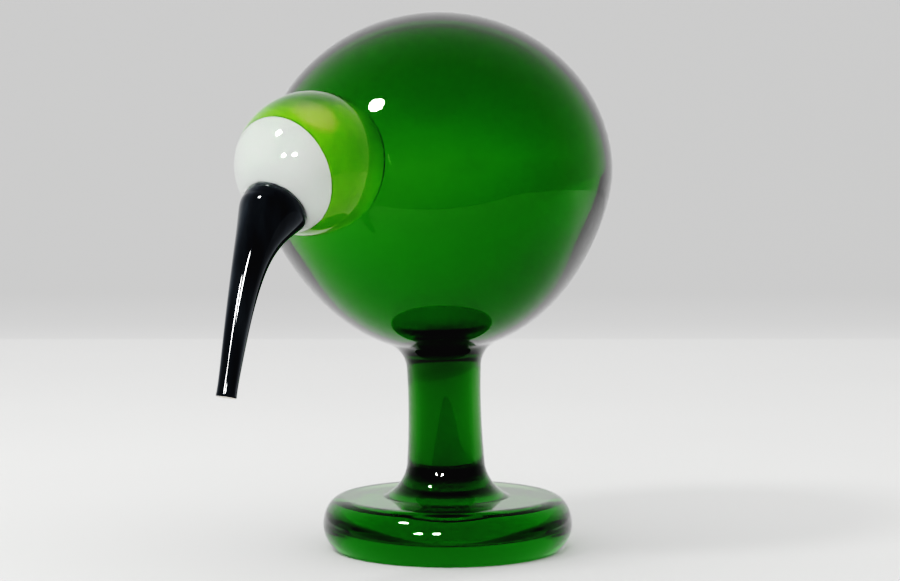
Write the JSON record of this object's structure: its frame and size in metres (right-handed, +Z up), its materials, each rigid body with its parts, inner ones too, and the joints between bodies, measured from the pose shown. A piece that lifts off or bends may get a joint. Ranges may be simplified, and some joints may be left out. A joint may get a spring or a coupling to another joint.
{
  "type": "glass bird figurine",
  "caption": "Long-billed glass bird with a hollow round green body on a short solid stem and a thick disc foot, standing as a shelf ornament.",
  "frame": {"origin": "centre of the foot's flat ground face, on the surface the bird stands on", "axes": "+Z up; the bird faces -Y; +X is across the bird, which is the same on both sides of X = 0"},
  "size_m": [0.1313, 0.1872, 0.2007],
  "materials": {
    "foot_glass": "polished transparent green",
    "stem_glass": "polished transparent green",
    "body_glass": "polished transparent green",
    "core_glass": "transparent lime green, seen through the casing",
    "face_glass": "opaque white opal, seen through the casing",
    "casing_glass": "polished clear",
    "beak_glass": "polished opaque black"
  },
  "bodies": {
    "root": {"foot": "foot_glass", "stem": "stem_glass", "body_shell": "body_glass", "head_core": "core_glass", "face_cap": "face_glass", "head_casing": "casing_glass", "beak": "beak_glass"}
  },
  "joints": []
}
